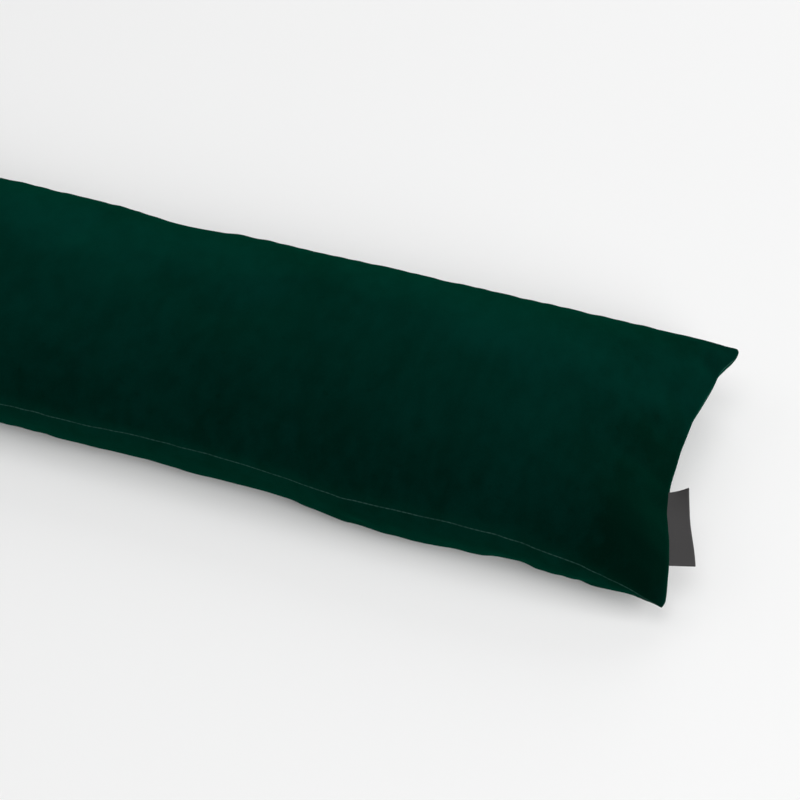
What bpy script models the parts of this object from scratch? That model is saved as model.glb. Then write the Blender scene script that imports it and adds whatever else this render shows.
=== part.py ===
"""A draught excluder: a long stuffed cushion of two velvet panels sewn together on all four
sides, lying on a flat surface, and a folded ribbon label caught in the seam of one end.

The long side runs along X, the labelled end is at +X, the seam that shows is at -Y.
All lengths are in metres.
"""

import math

import bmesh
import bpy
import numpy as np

# Driving dimensions
HALF_LENGTH = 0.490        # middle of the cushion to the corners of either end
MIDDLE_X = -0.0064         # place of the cushion's middle, so that the label counts in the box
LABEL_OUT_NEAR = 0.0158    # how far the label stands out at its near edge
LABEL_OUT_FAR = 0.0108     # how far it stands out at its far edge
LABEL_FROM = 0.125         # near edge of the label, as a part of the end seam from near to far
LABEL_TO = 0.360           # far edge of the label
LABEL_TURN_NEAR = 15.0     # degrees that the label's near edge turns from the X axis
LABEL_TURN_FAR = 23.0      # the same for its far edge
LABEL_LIFT = 0.0025        # curl of the label's far outer corner
LAYER = 0.0010             # thickness of one layer of ribbon
LAYER_GAP = 0.0005         # space between the two layers
CLEARANCE = 0.0006         # label to the cushion's end seam
LABEL_STEPS = (12, 6, 8)   # faces along the seam, out from it, and round the fold

# Cage of each panel: cells along the length and across it
CELLS_ALONG = 50
CELLS_ACROSS = 12
CROWDING = 0.30            # how much closer the stations stand near the ends
LEVELS = 1                 # subdivision of the cage

# Sections of the cushion, a row each. Both seams are given by their place and their height,
# the crown is the greatest height of the upper panel, and a belly is how far the lower panel
# swells out past its seam.
# columns: from the labelled end, near seam y, near seam z, far seam y, far seam z, crown,
# near belly, far belly
SECTIONS = np.array([
    [0.000, -0.0965, 0.0150, 0.0965, 0.0330, 0.034, 0.0000, 0.0000],
    [0.020, -0.0952, 0.0225, 0.0958, 0.0340, 0.056, 0.0055, 0.0010],
    [0.045, -0.0935, 0.0290, 0.0945, 0.0345, 0.066, 0.0080, 0.0020],
    [0.080, -0.0920, 0.0325, 0.0928, 0.0350, 0.071, 0.0090, 0.0030],
    [0.120, -0.0915, 0.0350, 0.0915, 0.0350, 0.072, 0.0105, 0.0040],
    [0.160, -0.0915, 0.0350, 0.0908, 0.0350, 0.072, 0.0120, 0.0040],
    [0.200, -0.0915, 0.0340, 0.0902, 0.0350, 0.072, 0.0115, 0.0040],
    [0.240, -0.0890, 0.0345, 0.0898, 0.0350, 0.072, 0.0080, 0.0040],
    [0.280, -0.0865, 0.0365, 0.0892, 0.0350, 0.071, 0.0055, 0.0040],
    [0.320, -0.0860, 0.0365, 0.0875, 0.0350, 0.070, 0.0085, 0.0040],
    [0.360, -0.0865, 0.0345, 0.0855, 0.0350, 0.070, 0.0075, 0.0040],
    [0.410, -0.0870, 0.0350, 0.0892, 0.0350, 0.071, 0.0065, 0.0040],
    [0.470, -0.0870, 0.0345, 0.0900, 0.0350, 0.072, 0.0075, 0.0040],
    [0.540, -0.0875, 0.0340, 0.0893, 0.0350, 0.072, 0.0070, 0.0040],
    [0.620, -0.0890, 0.0355, 0.0882, 0.0345, 0.071, 0.0080, 0.0045],
    [0.700, -0.0880, 0.0345, 0.0895, 0.0350, 0.072, 0.0065, 0.0040],
    [0.780, -0.0895, 0.0350, 0.0890, 0.0345, 0.072, 0.0080, 0.0040],
    [0.860, -0.0910, 0.0345, 0.0905, 0.0350, 0.072, 0.0085, 0.0040],
    [0.900, -0.0920, 0.0320, 0.0925, 0.0340, 0.070, 0.0075, 0.0035],
    [0.935, -0.0935, 0.0285, 0.0945, 0.0325, 0.065, 0.0065, 0.0025],
    [0.960, -0.0950, 0.0235, 0.0955, 0.0290, 0.055, 0.0025, 0.0010],
    [0.980, -0.0962, 0.0180, 0.0962, 0.0230, 0.034, 0.0000, 0.0000],
])

# Seam of the labelled end, drawn in between its two corners.
# columns: part of the way from the near corner to the far one, inset, height
LABELLED_END = np.array([
    [0.00, 0.0000, 0.0150],
    [0.05, 0.0000, 0.0180],
    [0.15, 0.0040, 0.0240],
    [0.28, 0.0105, 0.0300],
    [0.40, 0.0147, 0.0335],
    [0.50, 0.0147, 0.0350],
    [0.60, 0.0138, 0.0358],
    [0.70, 0.0112, 0.0360],
    [0.80, 0.0074, 0.0356],
    [0.90, 0.0030, 0.0350],
    [0.95, 0.0006, 0.0345],
    [1.00, 0.0000, 0.0330],
])

# Seam of the plain end, the same columns
PLAIN_END = np.array([
    [0.00, 0.0000, 0.0180],
    [0.06, 0.0003, 0.0205],
    [0.16, 0.0040, 0.0255],
    [0.30, 0.0105, 0.0310],
    [0.46, 0.0140, 0.0340],
    [0.60, 0.0130, 0.0345],
    [0.74, 0.0085, 0.0335],
    [0.88, 0.0028, 0.0295],
    [1.00, 0.0000, 0.0230],
])

# Soft ridges and hollows where the filling lies unevenly under the upper panel.
# columns: place x, place y, turn in degrees from X, half length, half width, height
SWELLS = (
    (0.370, 0.030, -13.0, 0.095, 0.024, 0.0026),
    (0.330, -0.042, -4.0, 0.070, 0.020, -0.0018),
    (0.215, 0.012, 38.0, 0.040, 0.016, -0.0022),
    (0.150, -0.018, -22.0, 0.060, 0.018, 0.0022),
    (0.085, 0.055, 72.0, 0.026, 0.013, -0.0028),
    (0.045, -0.045, 12.0, 0.050, 0.017, -0.0020),
    (-0.040, 0.020, 25.0, 0.065, 0.022, 0.0020),
    (-0.150, -0.030, -30.0, 0.055, 0.018, -0.0020),
    (-0.245, 0.035, 15.0, 0.070, 0.020, 0.0022),
    (-0.350, -0.020, -12.0, 0.080, 0.022, -0.0018),
)

# How each panel swells away from its seams: the two exponents of the swell, and how far in
# from an end it is full
UPPER_ACROSS = (2.3, 1.7)
UPPER_ALONG = (2.2, 1.9, 0.115)
LOWER_ACROSS = (7.0, 2.0)
LOWER_ALONG = (2.6, 1.8, 0.060)
LOWER_PRESS = 1.03         # presses the lower panel onto the surface, so that it is flat there
BELLY_SPAN = 0.45          # part of the half width over which a belly swells out
BELLY_ALONG = (2.0, 2.0)
END_BLEND = 0.060          # how far in the height of an end seam is still felt

# Materials: colour, roughness, sheen
VELVET = ((0.002, 0.045, 0.030, 1.0), 0.80, 0.60)
RIBBON = ((0.060, 0.058, 0.060, 1.0), 0.75, 0.10)


def clear_scene():
    """Remove every object that is already in the scene."""
    for item in list(bpy.data.objects):
        bpy.data.objects.remove(item, do_unlink=True)


def smooth_column(table, column, places):
    """Read one column of a table at the given places, along a smooth curve through its rows."""
    at, values = table[:, 0], table[:, column]
    step = np.diff(at)
    rise = np.diff(values) / step
    slope = np.zeros(len(at))
    same_way = rise[:-1] * rise[1:] > 0
    mean = 2 * rise[:-1] * rise[1:] / np.where(same_way, rise[:-1] + rise[1:], 1)
    slope[1:-1] = np.where(same_way, mean, 0)
    slope[0], slope[-1] = rise[0], rise[-1]
    row = np.clip(np.searchsorted(at, places) - 1, 0, len(step) - 1)
    t = (places - at[row]) / step[row]
    return (values[row] * (1 + 2 * t) * (1 - t) ** 2
            + slope[row] * step[row] * t * (1 - t) ** 2
            + values[row + 1] * t * t * (3 - 2 * t)
            + slope[row + 1] * step[row] * t * t * (t - 1))


def swell(part, rise, fall):
    """Grow from 0 at a seam to 1 at part = 1, steep at the seam and level at the crown."""
    part = np.clip(part, 0, 1)
    return (1 - (1 - part) ** rise) ** (1 / fall)


def soft_swells(x, y):
    """Add up the soft ridges and hollows, each a long round-edged mound."""
    height = np.zeros_like(x)
    for place_x, place_y, turn, half_length, half_width, rise in SWELLS:
        angle = math.radians(turn)
        along = (x - place_x) * math.cos(angle) + (y - place_y) * math.sin(angle)
        across = (y - place_y) * math.cos(angle) - (x - place_x) * math.sin(angle)
        height += rise * np.exp(-(along / half_length) ** 2 - (across / half_width) ** 2)
    return height


def panel(side):
    """Points of one panel's cage, one row for each station from the labelled end to the plain
    one. side is 1 for the upper panel and -1 for the lower one."""
    t = np.linspace(0, 1, CELLS_ALONG + 1)
    station = t - CROWDING * np.sin(2 * math.pi * t) / (2 * math.pi)
    across = (1 - np.cos(math.pi * np.arange(CELLS_ACROSS + 1) / CELLS_ACROSS)) / 2
    along, v = np.meshgrid(station, across, indexing="ij")
    s = along * 2 * HALF_LENGTH
    near_y, near_z, far_y, far_z, crown, near_belly, far_belly = (
        smooth_column(SECTIONS, column, s) for column in range(1, 8))

    first = HALF_LENGTH - smooth_column(LABELLED_END, 1, v)
    last = smooth_column(PLAIN_END, 1, v) - HALF_LENGTH
    x = first + (last - first) * along
    y = near_y + (far_y - near_y) * v
    z = near_z + (far_z - near_z) * v
    first_z = SECTIONS[0, 2] + (SECTIONS[0, 4] - SECTIONS[0, 2]) * v
    last_z = SECTIONS[-1, 2] + (SECTIONS[-1, 4] - SECTIONS[-1, 2]) * v
    from_first = np.exp(-(s / END_BLEND) ** 2)
    from_last = np.exp(-((2 * HALF_LENGTH - s) / END_BLEND) ** 2)
    z += from_first * (smooth_column(LABELLED_END, 2, v) - first_z)
    z += from_last * (smooth_column(PLAIN_END, 2, v) - last_z)

    end_gap = np.minimum(first - x, x - last)
    in_from_seam = 2 * np.minimum(v, 1 - v)
    if side > 0:
        full = swell(in_from_seam, *UPPER_ACROSS)
        full = full * swell(end_gap / UPPER_ALONG[2], *UPPER_ALONG[:2])
        z = z + np.maximum(crown - z, 0) * full + soft_swells(x, y) * full
    else:
        full = swell(in_from_seam, *LOWER_ACROSS)
        full = full * swell(end_gap / LOWER_ALONG[2], *LOWER_ALONG[:2])
        z = np.maximum(z - LOWER_PRESS * z * full, 0)
        belly = np.where(v < 0.5, -near_belly, far_belly)
        belly = belly * np.sin(math.pi * np.clip(in_from_seam / BELLY_SPAN, 0, 1))
        y = y + belly * swell(end_gap / LOWER_ALONG[2], *BELLY_ALONG)
    return np.stack([x + MIDDLE_X, y, z], axis=-1)


def make_cushion():
    """Loft the cage of both panels, share their points along the seams and subdivide it. The
    seams are creased, so that the two panels meet in a sewn edge."""
    mesh = bpy.data.meshes.new("cushion")
    bm = bmesh.new()
    upper, lower = panel(1), panel(-1)
    rows, columns = upper.shape[:2]
    top = [[bm.verts.new(upper[i, j]) for j in range(columns)] for i in range(rows)]

    def on_seam(i, j):
        return i in (0, rows - 1) or j in (0, columns - 1)

    base = [[top[i][j] if on_seam(i, j) else bm.verts.new(lower[i, j]) for j in range(columns)]
            for i in range(rows)]
    for i in range(rows - 1):
        for j in range(columns - 1):
            bm.faces.new((top[i][j], top[i][j + 1], top[i + 1][j + 1], top[i + 1][j]))
            bm.faces.new((base[i][j], base[i + 1][j], base[i + 1][j + 1], base[i][j + 1]))

    crease = bm.edges.layers.float.new("crease_edge")
    seam = {top[i][j] for i in range(rows) for j in range(columns) if on_seam(i, j)}
    for edge in bm.edges:
        if edge.verts[0] in seam and edge.verts[1] in seam:
            edge[crease] = 1.0
    bm.normal_update()
    bm.to_mesh(mesh)
    bm.free()
    mesh.shade_smooth()
    cushion = bpy.data.objects.new("cushion", mesh)
    subdivide(cushion)
    return cushion


def subdivide(piece):
    """Give a cage its soft form."""
    soften = piece.modifiers.new("soft form", "SUBSURF")
    soften.levels = LEVELS
    soften.render_levels = LEVELS
    soften.boundary_smooth = "ALL"


def end_seam():
    """Points of the labelled end's seam, near to far, as the subdivided cage draws it."""
    cage = panel(1)[0]
    seam = np.empty((2 * len(cage) - 1, 3))
    seam[::2] = cage
    seam[2:-1:2] = (cage[:-2] + 6 * cage[1:-1] + cage[2:]) / 8
    seam[1::2] = (cage[:-1] + cage[1:]) / 2
    return seam


def make_label():
    """Carry the folded ribbon's section along the end seam: in under, round the outer fold and
    back on top, and give it its thickness. The far outer corner curls up a little."""
    half_gap = (LAYER + LAYER_GAP) / 2
    along_steps, out_steps, fold_steps = LABEL_STEPS
    turns = np.linspace(-math.pi / 2, math.pi / 2, fold_steps + 1)
    straight = np.linspace(0, 1, out_steps + 1)[:-1]
    reach = np.concatenate([straight, np.ones(len(turns)), straight[::-1]])
    beyond = np.concatenate([straight * 0, half_gap * np.cos(turns), straight * 0])
    height = np.concatenate([straight * 0 - half_gap, half_gap * np.sin(turns),
                             straight * 0 + half_gap])
    q, reach = np.meshgrid(np.linspace(0, 1, along_steps + 1), reach, indexing="ij")
    beyond = np.broadcast_to(beyond, q.shape)
    height = np.broadcast_to(height, q.shape)

    seam = end_seam()
    v = LABEL_FROM + (LABEL_TO - LABEL_FROM) * q
    root_y = seam[0, 1] + (seam[-1, 1] - seam[0, 1]) * v
    root_x = np.interp(root_y, seam[:, 1], seam[:, 0])
    root_z = np.interp(root_y, seam[:, 1], seam[:, 2])
    turn = np.radians(LABEL_TURN_NEAR + (LABEL_TURN_FAR - LABEL_TURN_NEAR) * q)
    width = LABEL_OUT_NEAR + (LABEL_OUT_FAR - LABEL_OUT_NEAR) * q
    out = CLEARANCE + (width - CLEARANCE - half_gap) * reach + beyond
    x = root_x + out * np.cos(turn)
    y = root_y + out * np.sin(turn)
    z = root_z + height + LABEL_LIFT * q ** 3 * reach ** 2

    mesh = bpy.data.meshes.new("label")
    bm = bmesh.new()
    points = [[bm.verts.new((x[i, j], y[i, j], z[i, j])) for j in range(q.shape[1])]
              for i in range(q.shape[0])]
    for i in range(q.shape[0] - 1):
        for j in range(q.shape[1] - 1):
            bm.faces.new((points[i][j], points[i + 1][j], points[i + 1][j + 1],
                          points[i][j + 1]))
    bm.normal_update()
    bm.to_mesh(mesh)
    bm.free()
    mesh.shade_smooth()
    label = bpy.data.objects.new("label", mesh)
    thicken = label.modifiers.new("layer", "SOLIDIFY")
    thicken.thickness = LAYER
    thicken.offset = 0.0
    return label


def cloth(name, colour, roughness, sheen):
    """A plain cloth material."""
    material = bpy.data.materials.new(name)
    material.use_nodes = True
    shader = material.node_tree.nodes["Principled BSDF"]
    shader.inputs["Base Color"].default_value = colour
    shader.inputs["Roughness"].default_value = roughness
    shader.inputs["Metallic"].default_value = 0.0
    shader.inputs["Sheen Weight"].default_value = sheen
    material.diffuse_color = colour
    return material


def main():
    clear_scene()
    collection = bpy.data.collections.new("draught excluder")
    bpy.context.scene.collection.children.link(collection)
    cushion = make_cushion()
    cushion.data.materials.append(cloth("velvet", *VELVET))
    label = make_label()
    label.data.materials.append(cloth("ribbon", *RIBBON))
    for piece in (cushion, label):
        collection.objects.link(piece)


main()
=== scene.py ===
"""The looks of the draught excluder: a long stuffed cushion of dark green velvet, two panels
sewn together on all four sides, and a bare folded ribbon label caught in one end seam.

The cover is worked out as two grids of points, filled by a short cloth simulation that leaves
its small creases, and sewn into one surface. Lengths are in metres, in the frame's axes: the
labelled end is at +X, the long seam that shows is at -Y, and +Z is up.
"""

import math

import bpy
import numpy as np
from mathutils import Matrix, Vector


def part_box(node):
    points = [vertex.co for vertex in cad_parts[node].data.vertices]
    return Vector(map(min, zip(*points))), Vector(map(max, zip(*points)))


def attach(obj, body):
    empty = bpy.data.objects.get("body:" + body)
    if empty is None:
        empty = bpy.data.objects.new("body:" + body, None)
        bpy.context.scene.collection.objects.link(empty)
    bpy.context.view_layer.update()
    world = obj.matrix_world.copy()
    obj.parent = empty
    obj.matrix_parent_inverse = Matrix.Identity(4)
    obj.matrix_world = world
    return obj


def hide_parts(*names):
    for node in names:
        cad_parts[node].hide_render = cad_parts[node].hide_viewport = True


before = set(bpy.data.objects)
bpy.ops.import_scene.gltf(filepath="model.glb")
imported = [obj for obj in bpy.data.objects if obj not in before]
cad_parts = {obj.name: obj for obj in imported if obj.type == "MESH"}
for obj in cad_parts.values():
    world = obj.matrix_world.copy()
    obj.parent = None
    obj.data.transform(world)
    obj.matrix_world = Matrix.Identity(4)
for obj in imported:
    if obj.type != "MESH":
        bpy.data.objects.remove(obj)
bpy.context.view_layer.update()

# The cushion's length and middle, from the frame
CUSHION_LOW, CUSHION_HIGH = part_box("cushion")
HALF_LENGTH = (CUSHION_HIGH[0] - CUSHION_LOW[0]) / 2
MIDDLE_X = (CUSHION_HIGH[0] + CUSHION_LOW[0]) / 2

# Sections of the cover, a row each.
# columns: from the labelled end, near seam y, near seam z, far seam y, far seam z, crown,
# near belly, far belly
SECTIONS = np.array([
    [0.000, -0.0962, 0.0115, 0.0967, 0.0346, 0.035, 0.0000, 0.0000],
    [0.008, -0.0962, 0.0152, 0.0965, 0.0348, 0.045, 0.0060, 0.0004],
    [0.020, -0.0952, 0.0203, 0.0959, 0.0350, 0.056, 0.0092, 0.0010],
    [0.045, -0.0935, 0.0280, 0.0940, 0.0350, 0.066, 0.0098, 0.0020],
    [0.080, -0.0920, 0.0325, 0.0923, 0.0350, 0.071, 0.0105, 0.0030],
    [0.120, -0.0915, 0.0350, 0.0917, 0.0350, 0.072, 0.0133, 0.0040],
    [0.160, -0.0915, 0.0350, 0.0915, 0.0350, 0.072, 0.0146, 0.0040],
    [0.200, -0.0915, 0.0340, 0.0914, 0.0350, 0.072, 0.0118, 0.0040],
    [0.235, -0.0893, 0.0343, 0.0912, 0.0350, 0.072, 0.0074, 0.0040],
    [0.260, -0.0879, 0.0354, 0.0908, 0.0350, 0.071, 0.0082, 0.0040],
    [0.295, -0.0866, 0.0364, 0.0906, 0.0350, 0.071, 0.0094, 0.0040],
    [0.325, -0.0862, 0.0360, 0.0903, 0.0350, 0.070, 0.0086, 0.0040],
    [0.360, -0.0872, 0.0340, 0.0872, 0.0350, 0.070, 0.0078, 0.0040],
    [0.410, -0.0872, 0.0348, 0.0916, 0.0350, 0.071, 0.0070, 0.0040],
    [0.470, -0.0870, 0.0345, 0.0917, 0.0350, 0.072, 0.0075, 0.0040],
    [0.540, -0.0875, 0.0340, 0.0908, 0.0350, 0.072, 0.0070, 0.0040],
    [0.620, -0.0890, 0.0355, 0.0892, 0.0345, 0.071, 0.0080, 0.0045],
    [0.700, -0.0880, 0.0345, 0.0905, 0.0350, 0.072, 0.0065, 0.0040],
    [0.780, -0.0895, 0.0350, 0.0898, 0.0345, 0.072, 0.0080, 0.0040],
    [0.860, -0.0910, 0.0345, 0.0910, 0.0350, 0.072, 0.0085, 0.0040],
    [0.900, -0.0920, 0.0320, 0.0925, 0.0340, 0.070, 0.0075, 0.0035],
    [0.935, -0.0935, 0.0285, 0.0945, 0.0325, 0.065, 0.0065, 0.0025],
    [0.960, -0.0950, 0.0235, 0.0955, 0.0290, 0.055, 0.0025, 0.0010],
    [0.980, -0.0962, 0.0180, 0.0962, 0.0230, 0.034, 0.0000, 0.0000],
])

# Seam of the labelled end, drawn in between its corners.
# columns: part of the way from the near corner to the far one, inset, height
LABELLED_END = np.array([
    [0.00, -0.0010, 0.0115],
    [0.02, -0.0029, 0.0130],
    [0.05, -0.0024, 0.0165],
    [0.10, -0.0006, 0.0205],
    [0.15, 0.0018, 0.0240],
    [0.28, 0.0090, 0.0300],
    [0.40, 0.0127, 0.0335],
    [0.50, 0.0131, 0.0350],
    [0.60, 0.0123, 0.0358],
    [0.70, 0.0102, 0.0360],
    [0.80, 0.0073, 0.0358],
    [0.89, 0.0043, 0.0355],
    [0.93, 0.0012, 0.0353],
    [0.965, -0.0018, 0.0352],
    [0.985, -0.0020, 0.0350],
    [1.00, 0.0002, 0.0346],
])

# Seam of the plain end, the same columns
PLAIN_END = np.array([
    [0.00, 0.0000, 0.0180],
    [0.06, 0.0003, 0.0205],
    [0.16, 0.0040, 0.0255],
    [0.30, 0.0105, 0.0310],
    [0.46, 0.0140, 0.0340],
    [0.60, 0.0130, 0.0345],
    [0.74, 0.0085, 0.0335],
    [0.88, 0.0028, 0.0295],
    [1.00, 0.0000, 0.0230],
])

# Soft ridges and hollows where the filling lies unevenly under the upper panel.
# columns: place x, place y, turn in degrees from X, half length, half width, height
SWELLS = (
    (0.370, 0.030, -13.0, 0.095, 0.024, 0.0026),
    (0.330, -0.042, -4.0, 0.070, 0.020, -0.0018),
    (0.215, 0.012, 38.0, 0.040, 0.016, -0.0022),
    (0.150, -0.018, -22.0, 0.060, 0.018, 0.0022),
    (0.085, 0.055, 72.0, 0.026, 0.013, -0.0028),
    (0.045, -0.045, 12.0, 0.050, 0.017, -0.0020),
    (-0.040, 0.020, 25.0, 0.065, 0.022, 0.0020),
    (-0.150, -0.030, -30.0, 0.055, 0.018, -0.0020),
    (-0.245, 0.035, 15.0, 0.070, 0.020, 0.0022),
    (-0.350, -0.020, -12.0, 0.080, 0.022, -0.0018),
)

# Painted light and shade across the upper panel: how light its base colour is made, from the near
# seam to the far one.
# columns: part of the way from the near seam to the far one, lightness
PAINTED_SHADING_ACROSS = np.array([
    [0.00, 0.25],
    [0.12, 0.33],
    [0.30, 0.43],
    [0.40, 0.43],
    [0.50, 0.465],
    [0.62, 0.65],
    [0.70, 0.73],
    [0.78, 0.69],
    [0.86, 0.40],
    [0.93, 0.08],
    [1.00, -0.10],
])
# The lower panel's lightness is a flat painted shade
PAINTED_SHADING_BELOW = 0.21          # the same, all over the lower panel

# Soft spots of painted light and shade, lighter or darker, together with patches where the pile
# lies another way.
# columns: place x, place y, turn in degrees from X, half length, half width, lightness
PILE_AND_PAINTED_SHADING_SPOTS = (
    (0.465, -0.055, 80.0, 0.050, 0.028, -0.42),
    (0.474, -0.052, 88.0, 0.050, 0.010, -0.28),
    (0.450, 0.012, 90.0, 0.056, 0.036, -0.34),
    (0.402, 0.055, -15.0, 0.036, 0.014, -0.32),
    (0.338, 0.026, -10.0, 0.024, 0.013, 0.20),
    (0.205, 0.058, 0.0, 0.020, 0.014, -0.34),
    (0.060, 0.010, 90.0, 0.030, 0.020, 0.08),
    (0.474, 0.076, 50.0, 0.016, 0.012, 0.32),
    (0.478, 0.090, 10.0, 0.020, 0.008, 0.45),
    (0.440, 0.022, 35.0, 0.026, 0.014, 0.16),
    (0.385, -0.020, 75.0, 0.060, 0.026, 0.13),
    (0.358, 0.018, -20.0, 0.034, 0.018, 0.26),
    (0.290, 0.040, -8.0, 0.050, 0.014, -0.16),
    (0.235, 0.035, -14.0, 0.032, 0.022, -0.30),
    (0.200, 0.014, 80.0, 0.016, 0.011, 0.20),
    (0.185, -0.030, 60.0, 0.030, 0.016, -0.08),
    (0.140, -0.050, 10.0, 0.034, 0.028, 0.12),
    (0.145, 0.025, 70.0, 0.026, 0.014, -0.10),
    (0.105, 0.000, 85.0, 0.046, 0.016, 0.14),
    (0.065, 0.028, -20.0, 0.040, 0.022, 0.20),
    (0.050, -0.045, 30.0, 0.040, 0.024, 0.12),
    (-0.015, 0.020, 65.0, 0.034, 0.018, 0.14),
    (-0.060, -0.020, 80.0, 0.042, 0.020, -0.12),
    (-0.110, 0.040, -10.0, 0.050, 0.018, 0.18),
    (-0.150, -0.045, 20.0, 0.040, 0.022, 0.12),
    (-0.205, 0.010, 70.0, 0.044, 0.020, -0.14),
    (-0.265, 0.038, 12.0, 0.045, 0.018, 0.20),
    (-0.290, -0.030, 75.0, 0.038, 0.022, 0.12),
    (-0.355, 0.012, -30.0, 0.040, 0.022, -0.12),
    (-0.405, 0.040, 10.0, 0.034, 0.018, 0.16),
    (-0.460, -0.040, 80.0, 0.048, 0.024, -0.25),
)

# How each panel swells away from its seams: the two powers of swell and, towards the ends,
# the length over which it swells
UPPER_ACROSS = (2.3, 1.7)
UPPER_ALONG = (2.2, 1.9, 0.115)
LOWER_ACROSS = (7.0, 2.0)
LOWER_ALONG = (2.6, 1.8, 0.060)
LOWER_PRESS = 1.03         # how far the lower panel is pressed down; past 1 it lies flat
BELLY_ALONG = (2.0, 2.0)
BELLY_SPAN = 0.45          # part of the way in from a long seam that the belly takes up
END_BLEND = 0.060          # length over which an end seam's heights fade into the sections'

# Grid of each panel: cells along the length and across it, and how they crowd at the seams
CELLS_ALONG = 288
CELLS_ACROSS = 42
CROWD_ALONG = 0.35
CROWD_ACROSS = 0.65

# Filling by cloth simulation
SLACK = 0.014              # how much larger the cloth is cut than the form it fills
PRESSURE = 4.0
LAST_FRAME = 20
MOST_MOVE = 0.006          # a point of the cover moves no further than this
CREASE_PASSES = 40         # smoothing passes that part the short creases from the long swells
UPPER_CREASES = 0.45       # share of the creases that stays in each panel
LOWER_CREASES = 0.80

# Seam: its groove, and the lighter line along it with its stitches, the line being parted pile
# and a painted highlight of the seam's edge
GROOVE_DEPTH = 0.0006
GROOVE_HALF = 0.0012
LINE_EDGE = (0.0002, 0.0006)  # distances from the seam between which the line fades out
STITCH = 0.0034            # length of a stitch
BETWEEN_STITCHES = 0.55    # how much of the line is left between two stitches
WEAR_SCALE = 260.0         # how finely the line is worn
WEAR_LEFT = 0.6            # how much of it is left where it is worn

# How unevenly the long seams, the panel's bellies under them and the end seams run.
# columns: spacing, size, seed
SEAM_WAVES = ((0.047, 0.0007, 3), (0.019, 0.00035, 4), (0.0085, 0.00038, 5))
BELLY_WAVES = ((0.031, 0.0007, 7), (0.013, 0.0005, 8))
END_WAVES = ((0.018, 0.00035, 11), (0.008, 0.00025, 12))
WAVE_SHARES = (1.0, 1.2, 0.35, 0.4)  # of the seam waves, on near y, near z, far y and far z
WAVE_COUNT = 400           # heights drawn for a wave, more than the longest seam needs
WAVE_START = 3             # how many of them come before the seam
SEED_STEP = 10             # from one seam's seed to the next one's
END_CALM = 0.15            # part of an end seam, at either corner, over which its waves die out

# Label: how far it stands out, its place along the end seam, how it turns from the X axis at
# its near and far edge, and the curl of its far outer corner
LABEL_OUT = (0.0138, 0.0098)
LABEL_PLACE = (0.125, 0.355)
LABEL_TURN = (15.0, 23.0)
LABEL_LIFT = 0.0030
LABEL_WAVE = (0.0004, 2.6, 0.7)  # slow wave of the ribbon: height, half turns, start
LABEL_TUCK = 0.0025        # how deep it goes into the seam
RIBBON = 0.00045           # thickness of the ribbon
RIBBON_GAP = 0.00035       # space between its two layers at the fold
LABEL_CELLS = (64, 22, 10)  # along the seam, out from it, and round the fold

# Colours and their shares
# Ends of the velvet's base colour; the lightness that mixes them carries painted light and shade
# as well as the nap's own unevenness
DARK_NAP_AND_PAINTED_SHADE = (0.0003, 0.0010, 0.0009, 1.0)
LIGHT_NAP_AND_PAINTED_LIGHT = (0.0005, 0.0140, 0.0115, 1.0)
MOTTLE = 0.28              # how much the nap's own unevenness changes the lightness
TIPS = 0.10                # how much the fine streaks of the pile's tips change it
SPECK = 0.10               # how much darker a pressed speck is
RIB_SHARE = 0.6            # how much the ribbon's ribs show, against the warp that crosses them
NAP_SHEEN = (0.0, 0.047, 0.026, 1.0)
# Colour of the seam line: the parted pile, and a painted highlight of the seam's edge
PARTED_NAP_AND_SEAM_HIGHLIGHT = (0.0210, 0.043, 0.038, 1.0)
DARK_THREAD = (0.029, 0.028, 0.029, 1.0)
LIGHT_THREAD = (0.057, 0.055, 0.055, 1.0)
FLOOR_PALE = (0.90, 0.90, 0.90, 1.0)

# The nap's patterns: their scales along X, Y and Z, a smaller one for longer marks, and how
# many times finer than the patches the streaks and the specks are
BRUSHED_WAY = (1.0, 0.6, 1.0)
PILE_WAY = (1.0, 0.35, 0.8)
STREAKS_FINER = 4
SPECKS_FINER = 9

# Heights that the materials' bumps stand for
PATCH_HEIGHT = 0.0005
TIP_HEIGHT = 0.0001
THREAD_HEIGHT = 0.0001

# Studio lights: name, place, size, power in watts
STUDIO_LIGHTS = (
    ("low behind", (0.0, 2.4, 1.3), 1.6, 16.5),
    ("left", (-2.2, 0.2, 1.6), 2.0, 7.0),
    ("right", (5.0, 0.3, 3.0), 3.5, 150.0),
    ("right front", (4.2, -3.2, 3.0), 3.5, 255.0),
    ("above", (0.2, 0.0, 2.4), 2.0, 13.0),
)
STUDIO_AIM = (0.2, 0.0, 0.0)
SURROUNDINGS = 0.12        # strength of the light from all around
SURROUNDINGS_SEEN = 0.91   # how bright the surroundings look
FLOOR_HALF = 6.0
FLOOR_FADE = (0.9, 2.2)    # distances from the middle at which the floor begins and ends to fade

# Camera, from the photograph: what it looks at, its turn from -Y and its height in degrees,
# its distance, and its lens in millimetres
CAMERA_AIM = (0.2974, -0.0055, 0.030)
CAMERA_TURN = 18.14
CAMERA_HEIGHT = 47.94
CAMERA_DISTANCE = 1.40
CAMERA_LENS = 103.8


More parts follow.
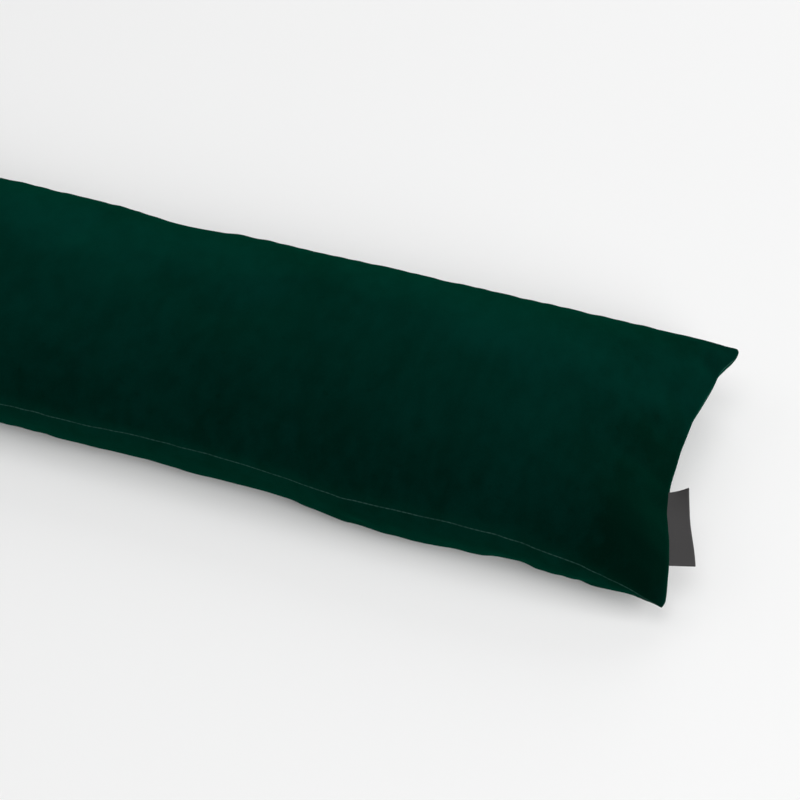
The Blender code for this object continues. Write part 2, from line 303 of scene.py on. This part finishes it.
def smooth_column(table, column, places):
    """Read one column of a table at the given places, along a monotone cubic curve through its
    rows: each slope is the harmonic mean of the rises beside it, or nothing at a turn."""
    at, values = table[:, 0], table[:, column]
    step = np.diff(at)
    rise = np.diff(values) / step
    slope = np.zeros(len(at))
    same_way = rise[:-1] * rise[1:] > 0
    mean = 2 * rise[:-1] * rise[1:] / np.where(same_way, rise[:-1] + rise[1:], 1)
    slope[1:-1] = np.where(same_way, mean, 0)
    slope[0], slope[-1] = rise[0], rise[-1]
    row = np.clip(np.searchsorted(at, places) - 1, 0, len(step) - 1)
    t = (places - at[row]) / step[row]
    return (values[row] * (1 + 2 * t) * (1 - t) ** 2
            + slope[row] * step[row] * t * (1 - t) ** 2
            + values[row + 1] * t * t * (3 - 2 * t)
            + slope[row + 1] * step[row] * t * t * (t - 1))


def swell(part, rise, fall):
    """(1 - (1 - part)^rise)^(1 / fall): from 0 at a seam to 1 at part = 1, steep at the seam
    and level at the crown."""
    part = np.clip(part, 0, 1)
    return (1 - (1 - part) ** rise) ** (1 / fall)


def wander(places, spacing, size, seed):
    """Uneven waves: seeded random heights a spacing apart, joined by half cosines."""
    heights = np.random.default_rng(seed).uniform(-size, size, WAVE_COUNT)
    step = places / spacing + WAVE_START
    row = np.floor(step).astype(int)
    ease = (1 - np.cos(math.pi * (step - row))) / 2
    return heights[row] * (1 - ease) + heights[row + 1] * ease


def soft_spots(table, x, y):
    """Sum of amount * exp(-(along / half length)^2 - (across / half width)^2) over the rows."""
    total = np.zeros_like(x)
    for place_x, place_y, turn, half_length, half_width, amount in table:
        angle = math.radians(turn)
        along = (x - place_x) * math.cos(angle) + (y - place_y) * math.sin(angle)
        across = (y - place_y) * math.cos(angle) - (x - place_x) * math.sin(angle)
        total += amount * np.exp(-(along / half_length) ** 2 - (across / half_width) ** 2)
    return total


def panel_grid():
    """The two parameters of a panel's grid: along, 0 at the labelled end and 1 at the plain
    one, and across, 0 at the near seam and 1 at the far one, both closer near the seams."""
    t = np.linspace(0, 1, CELLS_ALONG + 1)
    along = t - CROWD_ALONG * np.sin(2 * math.pi * t) / (2 * math.pi)
    t = np.linspace(0, 1, CELLS_ACROSS + 1)
    across = (1 - CROWD_ACROSS) * t + CROWD_ACROSS * (1 - np.cos(math.pi * t)) / 2
    return np.meshgrid(along, across, indexing="ij")


def panel(side):
    """Points of one panel, f(along, across). Seams: each section runs from the near seam's y
    and z to the far seam's, both with their waves, the ends are drawn in by their tables, and
    an end's heights fade into the sections' by exp(-(distance / blend)^2). Upper panel (side
    1): the height goes from the seam's to the crown by the product of the swells across and
    along, plus the soft swells. Lower panel (side -1): the height falls from the seam's to 0
    the same way, and y swells out beyond the seam by belly * sin(pi * in from the seam /
    span)."""
    along, v = panel_grid()
    s = along * 2 * HALF_LENGTH
    columns = [smooth_column(SECTIONS, column, s) for column in range(1, 8)]
    calm = swell(np.minimum(s, 2 * HALF_LENGTH - s) / END_BLEND, 1, 1)
    for spacing, size, seed in SEAM_WAVES:
        for number, share in enumerate(WAVE_SHARES):
            wave = wander(s, spacing, size * share, seed + SEED_STEP * number)
            columns[number] = columns[number] + wave * calm
    near_y, near_z, far_y, far_z, crown, near_belly, far_belly = columns
    for spacing, size, seed in BELLY_WAVES:
        near_belly = near_belly * (1 + wander(s, spacing, size, seed) / near_belly.max())
        far_belly = far_belly * (1 + wander(s, spacing, size, seed + SEED_STEP) / far_belly.max())

    first = HALF_LENGTH - smooth_column(LABELLED_END, 1, v)
    last = smooth_column(PLAIN_END, 1, v) - HALF_LENGTH
    calm = swell(2 * np.minimum(v, 1 - v) / END_CALM, 1, 1)
    for spacing, size, seed in END_WAVES:
        first = first + wander(v * (far_y - near_y), spacing, size, seed) * calm
        last = last + wander(v * (far_y - near_y), spacing, size, seed + SEED_STEP) * calm
    x = first + (last - first) * along
    y = near_y + (far_y - near_y) * v
    z = near_z + (far_z - near_z) * v
    first_z = SECTIONS[0, 2] + (SECTIONS[0, 4] - SECTIONS[0, 2]) * v
    last_z = SECTIONS[-1, 2] + (SECTIONS[-1, 4] - SECTIONS[-1, 2]) * v
    from_first = np.exp(-(s / END_BLEND) ** 2)
    from_last = np.exp(-((2 * HALF_LENGTH - s) / END_BLEND) ** 2)
    z += from_first * (smooth_column(LABELLED_END, 2, v) - first_z)
    z += from_last * (smooth_column(PLAIN_END, 2, v) - last_z)

    end_gap = np.minimum(first - x, x - last)
    in_from_seam = 2 * np.minimum(v, 1 - v)
    if side > 0:
        full = swell(in_from_seam, *UPPER_ACROSS)
        full = full * swell(end_gap / UPPER_ALONG[2], *UPPER_ALONG[:2])
        z = z + np.maximum(crown - z, 0) * full + soft_spots(SWELLS, x, y) * full
    else:
        full = swell(in_from_seam, *LOWER_ACROSS)
        full = full * swell(end_gap / LOWER_ALONG[2], *LOWER_ALONG[:2])
        z = np.maximum(z - LOWER_PRESS * z * full, 0)
        belly = np.where(v < 0.5, -near_belly, far_belly)
        belly = belly * np.sin(math.pi * np.clip(in_from_seam / BELLY_SPAN, 0, 1))
        y = y + belly * swell(end_gap / LOWER_ALONG[2], *BELLY_ALONG)
    return np.stack([x + MIDDLE_X, y, z], axis=-1)


def grid_faces(rows, columns):
    """Corners of the quads of a grid whose points are numbered row by row."""
    number = np.arange(rows * columns).reshape(rows, columns)
    return np.stack([number[:-1, :-1], number[:-1, 1:], number[1:, 1:], number[1:, :-1]],
                    axis=-1).reshape(-1, 4)


def sewn_numbers(rows, columns):
    """Numbers of the lower panel's points: on the rim they are the upper panel's own, so that
    the seams are shared, and inside they follow after the upper panel's last."""
    number = np.arange(rows * columns).reshape(rows, columns)
    inside = np.arange((rows - 2) * (columns - 2)).reshape(rows - 2, columns - 2)
    number[1:-1, 1:-1] = rows * columns + inside
    return number


def sewn_mesh(name, upper, lower):
    """One closed mesh from the two panels' grids, sewn along the rim."""
    rows, columns = upper.shape[:2]
    points = np.concatenate([upper.reshape(-1, 3), lower[1:-1, 1:-1].reshape(-1, 3)])
    top = grid_faces(rows, columns)
    base = sewn_numbers(rows, columns).reshape(-1)[top][:, ::-1]
    mesh = bpy.data.meshes.new(name)
    mesh.from_pydata(points.tolist(), [], np.concatenate([top, base]).tolist())
    mesh.shade_smooth()
    mesh.update()
    return mesh


def on_rim(rows, columns):
    """True for the points of a grid that lie on its rim."""
    rim = np.ones((rows, columns), dtype=bool)
    rim[1:-1, 1:-1] = False
    return rim


def filled(upper, lower):
    """Fill the cover: the cloth, cut a little larger than its form and held along the seams,
    is blown up by pressure alone. Returns how far each point of each panel moved, capped."""
    rows, columns = upper.shape[:2]
    mesh = sewn_mesh("filling", upper, lower)
    cover = bpy.data.objects.new("filling", mesh)
    bpy.context.scene.collection.objects.link(cover)
    rim = np.nonzero(on_rim(rows, columns).reshape(-1))[0]
    held = cover.vertex_groups.new(name="seams")
    held.add(rim.tolist(), 1.0, "REPLACE")
    cloth = cover.modifiers.new("filling", "CLOTH")
    settings = cloth.settings
    settings.quality = 6
    settings.mass = 0.3
    settings.tension_stiffness = 20
    settings.compression_stiffness = 20
    settings.shear_stiffness = 8
    settings.bending_stiffness = 0.4
    settings.use_pressure = True
    settings.uniform_pressure_force = PRESSURE
    settings.shrink_min = -SLACK
    settings.shrink_max = -SLACK
    settings.vertex_group_mass = held.name
    settings.effector_weights.gravity = 0
    cloth.collision_settings.use_collision = False
    cloth.collision_settings.use_self_collision = False
    cloth.point_cache.frame_start = 1
    cloth.point_cache.frame_end = LAST_FRAME
    for number in range(1, LAST_FRAME + 1):
        bpy.context.scene.frame_set(number)
    view = bpy.context.evaluated_depsgraph_get()
    blown = cover.evaluated_get(view).data
    after = np.empty(len(mesh.vertices) * 3, dtype=np.float32)
    blown.vertices.foreach_get("co", after)
    before = np.empty_like(after)
    mesh.vertices.foreach_get("co", before)
    move = (after - before).reshape(-1, 3).astype(float)
    bpy.context.scene.frame_set(1)
    bpy.data.objects.remove(cover, do_unlink=True)
    bpy.data.meshes.remove(mesh)
    far = np.linalg.norm(move, axis=1, keepdims=True)
    move *= np.minimum(1, MOST_MOVE / np.maximum(far, 1e-9))
    upper_move = move[:rows * columns].reshape(rows, columns, 3)
    return upper_move, move[sewn_numbers(rows, columns)]


def smoothed(field, passes):
    """Average each point of a grid with its neighbours, a quarter, a half and a quarter, along
    both directions and over and over; the rim is repeated outwards."""
    for axis in (0, 1):
        for _ in range(passes):
            first = np.take(field, [0], axis=axis)
            last = np.take(field, [-1], axis=axis)
            wide = np.concatenate([first, field, last], axis=axis)
            count = field.shape[axis]
            low, middle, high = (np.take(wide, np.arange(count) + k, axis=axis) for k in range(3))
            field = (low + 2 * middle + high) / 4
    return field


def grid_normals(points):
    """Unit cross product of the grid's steps across and along: upwards on the upper panel."""
    normal = np.cross(np.gradient(points, axis=1), np.gradient(points, axis=0))
    return normal / np.maximum(np.linalg.norm(normal, axis=-1, keepdims=True), 1e-12)


def seam_lengths(points):
    """Two lengths along the cloth, summed up the grid's lines: from each point to the nearest
    of the four seams, and how far along that seam it lies."""
    across = np.linalg.norm(np.diff(points, axis=1), axis=-1)
    along = np.linalg.norm(np.diff(points, axis=0), axis=-1)
    from_near = np.pad(np.cumsum(across, axis=1), ((0, 0), (1, 0)))
    from_first = np.pad(np.cumsum(along, axis=0), ((1, 0), (0, 0)))
    to_long_seam = np.minimum(from_near, from_near[:, -1:] - from_near)
    to_end_seam = np.minimum(from_first, from_first[-1:] - from_first)
    return (np.minimum(to_long_seam, to_end_seam),
            np.where(to_long_seam <= to_end_seam, from_first, from_near))


def finished_panels():
    """The two panels with the creases of the filling and the fine groove of the seams: inwards
    by depth * exp(-(distance from the seam / half width)^2)."""
    upper, lower = panel(1), panel(-1)
    moves = filled(upper, lower)
    shares = (UPPER_CREASES, LOWER_CREASES)
    creases = [(move - smoothed(move, CREASE_PASSES)) * share
               for move, share in zip(moves, shares)]
    rim = on_rim(*upper.shape[:2])
    for crease in creases:
        crease[rim] = 0
    upper, lower = upper + creases[0], lower + creases[1]
    for points, outward in ((upper, 1), (lower, -1)):
        groove = GROOVE_DEPTH * np.exp(-(seam_lengths(points)[0] / GROOVE_HALF) ** 2)
        points -= outward * grid_normals(points) * groove[..., None]
    lower[on_rim(*lower.shape[:2])] = upper[on_rim(*upper.shape[:2])]
    lower[..., 2] = np.maximum(lower[..., 2], 0)
    return upper, lower


def cloth_lengths(points):
    """UV of a panel in metres: length along its middle line, and length across it."""
    along = np.linalg.norm(np.diff(points[:, CELLS_ACROSS // 2], axis=0), axis=-1)
    across = np.linalg.norm(np.diff(points, axis=1), axis=-1)
    u = np.pad(np.cumsum(along), (1, 0))[:, None] + np.zeros(points.shape[:2])
    v = np.pad(np.cumsum(across, axis=1), ((0, 0), (1, 0)))
    return np.stack([u, v], axis=-1)


def point_values(mesh, name, upper, lower):
    """Store a number on each point of a sewn mesh, from a grid for each panel."""
    values = np.concatenate([upper.reshape(-1), lower[1:-1, 1:-1].reshape(-1)])
    mesh.attributes.new(name, "FLOAT", "POINT").data.foreach_set("value", values)


def make_cover():
    """Sew the finished panels together. Each corner keeps its length along the cloth as a UV,
    and each point its distance from the nearest seam, its length along that seam and how
    light its colour is painted there: painted light and shade, with the lie of the pile."""
    upper, lower = finished_panels()
    mesh = sewn_mesh("velvet cover", upper, lower)
    top = grid_faces(*upper.shape[:2])
    upper_uv = cloth_lengths(upper).reshape(-1, 2)[top].reshape(-1, 2)
    lower_uv = cloth_lengths(lower).reshape(-1, 2)[top][:, ::-1].reshape(-1, 2)
    layer = mesh.uv_layers.new(name="cloth")
    layer.data.foreach_set("uv", np.concatenate([upper_uv, lower_uv]).reshape(-1))
    for name, above, below in zip(("from_seam", "along_seam"), seam_lengths(upper),
                                  seam_lengths(lower)):
        point_values(mesh, name, above, below)
    # Painted light and shade: lighter and darker across the upper panel and in soft spots, and a
    # flat painted shade on the lower panel
    pile_and_painted_shading = smooth_column(PAINTED_SHADING_ACROSS, 1, panel_grid()[1])
    pile_and_painted_shading += soft_spots(PILE_AND_PAINTED_SHADING_SPOTS, upper[..., 0], upper[..., 1])
    point_values(mesh, "pile_and_painted_shading", pile_and_painted_shading, np.full(pile_and_painted_shading.shape, PAINTED_SHADING_BELOW))
    cover = bpy.data.objects.new("velvet_cover", mesh)
    bpy.context.scene.collection.objects.link(cover)
    soften = cover.modifiers.new("soft cloth", "SUBSURF")
    soften.levels = 1
    soften.render_levels = 1
    return cover


def make_label():
    """A folded ribbon, f(q, p): q runs along the end seam and p along the ribbon, in under,
    round the outer fold and back on top. Each point is the seam's point at q, plus the reach
    at p along a direction that turns with q, plus half the gap's height. The far outer corner
    lifts by lift * q^3 * reach^2, and the ribbon waves by height * sin(pi * half turns * q +
    start) * reach. Returns the label, its width and its length round the fold."""
    half_gap = (RIBBON + RIBBON_GAP) / 2
    along_cells, out_cells, fold_cells = LABEL_CELLS
    turns = np.linspace(-math.pi / 2, math.pi / 2, fold_cells + 1)
    straight = np.linspace(0, 1, out_cells + 1)[:-1]
    reach = np.concatenate([straight, np.ones(len(turns)), straight[::-1]])
    beyond = np.concatenate([straight * 0, half_gap * np.cos(turns), straight * 0])
    height = np.concatenate([straight * 0 - half_gap, half_gap * np.sin(turns),
                             straight * 0 + half_gap])
    q, reach = np.meshgrid(np.linspace(0, 1, along_cells + 1), reach, indexing="ij")
    v = LABEL_PLACE[0] + (LABEL_PLACE[1] - LABEL_PLACE[0]) * q
    root_x = HALF_LENGTH - smooth_column(LABELLED_END, 1, v) + MIDDLE_X
    root_y = SECTIONS[0, 1] + (SECTIONS[0, 3] - SECTIONS[0, 1]) * v
    root_z = smooth_column(LABELLED_END, 2, v)
    turn = np.radians(LABEL_TURN[0] + (LABEL_TURN[1] - LABEL_TURN[0]) * q)
    width = LABEL_OUT[0] + (LABEL_OUT[1] - LABEL_OUT[0]) * q
    out = (width - half_gap + LABEL_TUCK) * reach - LABEL_TUCK + beyond
    wave_height, half_turns, start = LABEL_WAVE
    wave = wave_height * np.sin(half_turns * math.pi * q + start) * reach
    points = np.stack([root_x + out * np.cos(turn), root_y + out * np.sin(turn),
                       root_z + height + wave + LABEL_LIFT * q ** 3 * reach ** 2], axis=-1)

    rows, columns = points.shape[:2]
    mesh = bpy.data.meshes.new("ribbon label")
    faces = grid_faces(rows, columns)[:, ::-1]
    mesh.from_pydata(points.reshape(-1, 3).tolist(), [], faces.tolist())
    ribbon = np.linalg.norm(np.diff(points, axis=1), axis=-1)
    ribbon = np.pad(np.cumsum(ribbon, axis=1), ((0, 0), (1, 0)))
    width = np.linalg.norm(points[-1, 0] - points[0, 0])
    uv = np.stack([q * width, ribbon], axis=-1).reshape(-1, 2)[faces].reshape(-1)
    mesh.uv_layers.new(name="cloth").data.foreach_set("uv", uv)
    mesh.shade_smooth()
    label = bpy.data.objects.new("ribbon_label", mesh)
    bpy.context.scene.collection.objects.link(label)
    thicken = label.modifiers.new("ribbon", "SOLIDIFY")
    thicken.thickness = RIBBON
    thicken.offset = 0.0
    return label, width, float(ribbon[:, -1].mean()) - 2 * LABEL_TUCK


def new_group(name, inputs, outputs):
    """An empty shader node group with float inputs (name, value) and outputs (name, type)."""
    group = bpy.data.node_groups.new(name, "ShaderNodeTree")
    for label, value in inputs:
        socket = group.interface.new_socket(label, in_out="INPUT", socket_type="NodeSocketFloat")
        socket.default_value = value
    for label, kind in outputs:
        group.interface.new_socket(label, in_out="OUTPUT", socket_type=kind)
    return group, group.nodes.new("NodeGroupInput"), group.nodes.new("NodeGroupOutput")


def add(tree, kind, **values):
    """Add a node and set its properties by name."""
    node = tree.nodes.new(kind)
    for name, value in values.items():
        setattr(node, name, value)
    return node


def feed(tree, socket, value):
    """Give an input socket a plain value, or link an output socket to it."""
    if isinstance(value, bpy.types.NodeSocket):
        tree.links.new(value, socket)
    else:
        socket.default_value = value


def maths(tree, operation, *operands):
    """A Math node; each operand is a number or an output socket. Returns its output."""
    node = add(tree, "ShaderNodeMath", operation=operation)
    for socket, operand in zip(node.inputs, operands):
        feed(tree, socket, operand)
    return node.outputs[0]


def noise(tree, coordinate, scale, detail, roughness=0.5):
    """Noise of a given scale on a coordinate. Returns its value output."""
    node = add(tree, "ShaderNodeTexNoise")
    for name, value in (("Vector", coordinate), ("Scale", scale), ("Detail", detail),
                        ("Roughness", roughness)):
        feed(tree, node.inputs[name], value)
    return node.outputs[0]


def spread(tree, value, low, high, new_low=0.0, new_high=1.0):
    """Map Range of a value, eased at both ends. Returns its output."""
    node = add(tree, "ShaderNodeMapRange", interpolation_type="SMOOTHSTEP")
    for name, number in (("Value", value), ("From Min", low), ("From Max", high),
                         ("To Min", new_low), ("To Max", new_high)):
        feed(tree, node.inputs[name], number)
    return node.outputs[0]


def stretched(tree, coordinate, scales):
    """A coordinate scaled along each of its axes. Returns the new one."""
    node = add(tree, "ShaderNodeMapping")
    feed(tree, node.inputs["Vector"], coordinate)
    feed(tree, node.inputs["Scale"], scales)
    return node.outputs[0]


def nap_group():
    """Velvet's nap: patches where the pile lies another way, short streaks brushed across the
    cushion, the pile's tips as fine streaks of their own, and small specks where it is pressed
    flat. Shade and Tips are 0 to 1, Speck is 1 inside a speck, and Height is in metres."""
    group, given, out = new_group("velvet nap", (("Patches", 26.0), ("Grain", 1900.0)),
                                  (("Shade", "NodeSocketFloat"), ("Tips", "NodeSocketFloat"),
                                   ("Speck", "NodeSocketFloat"), ("Height", "NodeSocketFloat")))
    place = add(group, "ShaderNodeTexCoord").outputs["Object"]
    brushed = stretched(group, place, BRUSHED_WAY)
    scale = given.outputs["Patches"]
    patches = noise(group, brushed, scale, 3.0, 0.55)
    streaks = noise(group, brushed, maths(group, "MULTIPLY", scale, STREAKS_FINER), 2.0)
    tips = noise(group, stretched(group, place, PILE_WAY), given.outputs["Grain"], 1.0)
    speck = noise(group, place, maths(group, "MULTIPLY", scale, SPECKS_FINER), 0.0)
    shade = maths(group, "MULTIPLY", maths(group, "ADD", patches, streaks), 0.5)
    group.links.new(spread(group, shade, 0.3, 0.7), out.inputs["Shade"])
    group.links.new(spread(group, tips, 0.25, 0.75), out.inputs["Tips"])
    group.links.new(spread(group, speck, 0.74, 0.84), out.inputs["Speck"])
    height = maths(group, "ADD", maths(group, "MULTIPLY", patches, PATCH_HEIGHT),
                   maths(group, "MULTIPLY", tips, TIP_HEIGHT))
    group.links.new(height, out.inputs["Height"])
    return group


def weave_group():
    """Woven ribbon on the UV map in metres: fine ribs across the ribbon, crossed by the warp
    threads. Thread is 0 to 1, Height is in metres."""
    group, given, out = new_group("ribbon weave", (("Rib", 0.00055), ("Warp", 0.00032)),
                                  (("Thread", "NodeSocketFloat"), ("Height", "NodeSocketFloat")))
    place = add(group, "ShaderNodeUVMap", uv_map="cloth")
    parts = add(group, "ShaderNodeSeparateXYZ")
    group.links.new(place.outputs[0], parts.inputs[0])
    turn = 2 * math.pi
    rib = maths(group, "DIVIDE", parts.outputs["Y"], given.outputs["Rib"])
    warp = maths(group, "DIVIDE", parts.outputs["X"], given.outputs["Warp"])
    rib = maths(group, "SINE", maths(group, "MULTIPLY", rib, turn))
    warp = maths(group, "SINE", maths(group, "MULTIPLY", warp, turn))
    crossed = maths(group, "MULTIPLY", rib, warp)
    thread = maths(group, "ADD", maths(group, "MULTIPLY", rib, RIB_SHARE),
                   maths(group, "MULTIPLY", crossed, 1 - RIB_SHARE))
    thread = maths(group, "MULTIPLY_ADD", thread, 0.5, 0.5)
    group.links.new(thread, out.inputs["Thread"])
    group.links.new(maths(group, "MULTIPLY", thread, THREAD_HEIGHT), out.inputs["Height"])
    return group


def mixed(tree, share, first, second):
    """Mix two colours, each a colour or an output socket, by a share. Returns the output. The
    node's inputs 6 and 7 and its output 2 are the ones for colours."""
    node = add(tree, "ShaderNodeMix", data_type="RGBA")
    feed(tree, node.inputs["Factor"], share)
    feed(tree, node.inputs[6], first)
    feed(tree, node.inputs[7], second)
    return node.outputs[2]


def bumped(tree, height, strength):
    """A Bump node on a height in metres. Returns its normal."""
    node = add(tree, "ShaderNodeBump")
    for name, value in (("Strength", strength), ("Distance", 1.0), ("Height", height)):
        feed(tree, node.inputs[name], value)
    return node.outputs[0]


def new_material(name):
    """An empty material. Returns it, its node tree and its Principled BSDF."""
    material = bpy.data.materials.new(name)
    material.use_nodes = True
    return material, material.node_tree, material.node_tree.nodes["Principled BSDF"]


def velvet_material():
    """Dark emerald velvet: a very dark base painted lighter and darker as painted light and
    shade, a green sheen at grazing angles, nap, and the thin lighter line where the pile parts
    along the seams, partly a painted highlight of the seam's edge, crossed by the stitches."""
    material, tree, shader = new_material("emerald velvet")
    nap = add(tree, "ShaderNodeGroup", node_tree=nap_group())
    # Painted light and shade: the attribute's lightness, with the nap's own unevenness, mixes the
    # base colour between its dark and light ends
    pile_and_painted_shading = add(tree, "ShaderNodeAttribute", attribute_name="pile_and_painted_shading")
    mottle = maths(tree, "MULTIPLY_ADD", nap.outputs["Shade"], MOTTLE, -MOTTLE / 2)
    tips = maths(tree, "MULTIPLY_ADD", nap.outputs["Tips"], TIPS, -TIPS / 2)
    lightness = maths(tree, "ADD", pile_and_painted_shading.outputs["Fac"], maths(tree, "ADD", mottle, tips))
    lightness = maths(tree, "MULTIPLY_ADD", nap.outputs["Speck"], -SPECK, lightness)
    colour = mixed(tree, lightness, DARK_NAP_AND_PAINTED_SHADE, LIGHT_NAP_AND_PAINTED_LIGHT)

    # The lighter seam line: parted pile, and a painted highlight of the seam's edge
    from_seam = add(tree, "ShaderNodeAttribute", attribute_name="from_seam")
    along_seam = add(tree, "ShaderNodeAttribute", attribute_name="along_seam")
    line = spread(tree, from_seam.outputs["Fac"], *LINE_EDGE, 1.0, 0.0)
    wave = maths(tree, "SINE", maths(tree, "MULTIPLY", along_seam.outputs["Fac"],
                                     2 * math.pi / STITCH))
    line = maths(tree, "MULTIPLY", line, spread(tree, wave, -0.9, -0.2, BETWEEN_STITCHES, 1.0))
    place = add(tree, "ShaderNodeTexCoord").outputs["Object"]
    worn = spread(tree, noise(tree, place, WEAR_SCALE, 2.0), 0.35, 0.60, WEAR_LEFT, 1.0)
    line = maths(tree, "MULTIPLY", line, worn)
    colour = mixed(tree, line, colour, PARTED_NAP_AND_SEAM_HIGHLIGHT)
    tree.links.new(colour, shader.inputs["Base Color"])
    normal = bumped(tree, nap.outputs["Height"], strength=0.6)
    tree.links.new(normal, shader.inputs["Normal"])
    shader.inputs["Roughness"].default_value = 0.85
    shader.inputs["Specular IOR Level"].default_value = 0.0
    shader.inputs["Sheen Weight"].default_value = 1.0
    shader.inputs["Sheen Roughness"].default_value = 0.72
    shader.inputs["Sheen Tint"].default_value = NAP_SHEEN
    return material


def ribbon_material():
    """Dark grey woven ribbon, a little lighter where the threads stand up."""
    material, tree, shader = new_material("grey ribbon")
    weave = add(tree, "ShaderNodeGroup", node_tree=weave_group())
    colour = mixed(tree, weave.outputs["Thread"], DARK_THREAD, LIGHT_THREAD)
    tree.links.new(colour, shader.inputs["Base Color"])
    normal = bumped(tree, weave.outputs["Height"], strength=0.7)
    tree.links.new(normal, shader.inputs["Normal"])
    shader.inputs["Roughness"].default_value = 0.62
    shader.inputs["Specular IOR Level"].default_value = 0.25
    return material


def make_floor():
    """A plain pale floor that, as the camera sees it, fades into the surroundings far away."""
    mesh = bpy.data.meshes.new("floor")
    half = FLOOR_HALF
    mesh.from_pydata([(-half, -half, 0), (half, -half, 0), (half, half, 0), (-half, half, 0)], [],
                     [(0, 1, 2, 3)])
    floor = bpy.data.objects.new("floor", mesh)
    bpy.context.scene.collection.objects.link(floor)
    material, tree, shader = new_material("pale floor")
    shader.inputs["Base Color"].default_value = FLOOR_PALE
    shader.inputs["Roughness"].default_value = 0.9
    shader.inputs["Specular IOR Level"].default_value = 0.0
    place = add(tree, "ShaderNodeTexCoord").outputs["Object"]
    away = add(tree, "ShaderNodeVectorMath", operation="LENGTH")
    tree.links.new(place, away.inputs[0])
    fade = spread(tree, away.outputs["Value"], *FLOOR_FADE)
    seen = add(tree, "ShaderNodeLightPath").outputs["Is Camera Ray"]
    pale = add(tree, "ShaderNodeEmission")
    pale.inputs["Strength"].default_value = SURROUNDINGS_SEEN
    choice = add(tree, "ShaderNodeMixShader")
    tree.links.new(maths(tree, "MULTIPLY", fade, seen), choice.inputs["Fac"])
    tree.links.new(shader.outputs[0], choice.inputs[1])
    tree.links.new(pale.outputs[0], choice.inputs[2])
    tree.links.new(choice.outputs[0], tree.nodes["Material Output"].inputs["Surface"])
    mesh.materials.append(material)


def area_light(name, place, aim, size, power):
    """A square soft light that looks from one point to another."""
    data = bpy.data.lights.new(name, "AREA")
    data.shape = "SQUARE"
    data.size = size
    data.energy = power
    light = bpy.data.objects.new(name, data)
    light.location = place
    light.rotation_euler = (Vector(aim) - Vector(place)).to_track_quat("-Z", "Y").to_euler()
    bpy.context.scene.collection.objects.link(light)


def light_studio():
    """Wide soft lights from the right and the right front, a low one behind that wakes the
    velvet's sheen, weaker ones from the left and above, and pale surroundings. The
    surroundings light the piece less than they look, because the lights do the rest."""
    world = bpy.data.worlds.new("studio")
    bpy.context.scene.world = world
    world.use_nodes = True
    tree = world.node_tree
    faint = tree.nodes["Background"]
    faint.inputs["Color"].default_value = (1, 1, 1, 1)
    faint.inputs["Strength"].default_value = SURROUNDINGS
    pale = add(tree, "ShaderNodeBackground")
    pale.inputs["Color"].default_value = (1, 1, 1, 1)
    pale.inputs["Strength"].default_value = SURROUNDINGS_SEEN
    seen = add(tree, "ShaderNodeLightPath")
    choice = add(tree, "ShaderNodeMixShader")
    tree.links.new(seen.outputs["Is Camera Ray"], choice.inputs["Fac"])
    tree.links.new(faint.outputs[0], choice.inputs[1])
    tree.links.new(pale.outputs[0], choice.inputs[2])
    tree.links.new(choice.outputs[0], tree.nodes["World Output"].inputs["Surface"])
    for name, place, size, power in STUDIO_LIGHTS:
        area_light(name, place, STUDIO_AIM, size, power)


def place_camera():
    """The photograph's viewpoint: aim + distance * (sin a cos e, -cos a cos e, sin e)."""
    turn, height = math.radians(CAMERA_TURN), math.radians(CAMERA_HEIGHT)
    back = Vector((math.sin(turn) * math.cos(height), -math.cos(turn) * math.cos(height),
                   math.sin(height)))
    data = bpy.data.cameras.new("camera")
    data.lens = CAMERA_LENS
    data.sensor_width = 36.0
    camera = bpy.data.objects.new("camera", data)
    camera.location = Vector(CAMERA_AIM) + back * CAMERA_DISTANCE
    camera.rotation_euler = back.to_track_quat("Z", "Y").to_euler()
    bpy.context.scene.collection.objects.link(camera)
    bpy.context.scene.camera = camera


def main():
    """Make the cover and the label, then the studio around them."""
    cover = make_cover()
    cover.data.materials.append(velvet_material())
    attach(cover, "root")
    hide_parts("cushion")

    label, width, length = make_label()
    label.data.materials.append(ribbon_material())
    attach(label, "root")
    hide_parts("label")

    make_floor()
    light_studio()
    place_camera()
    bpy.context.scene.view_settings.view_transform = "Standard"


main()
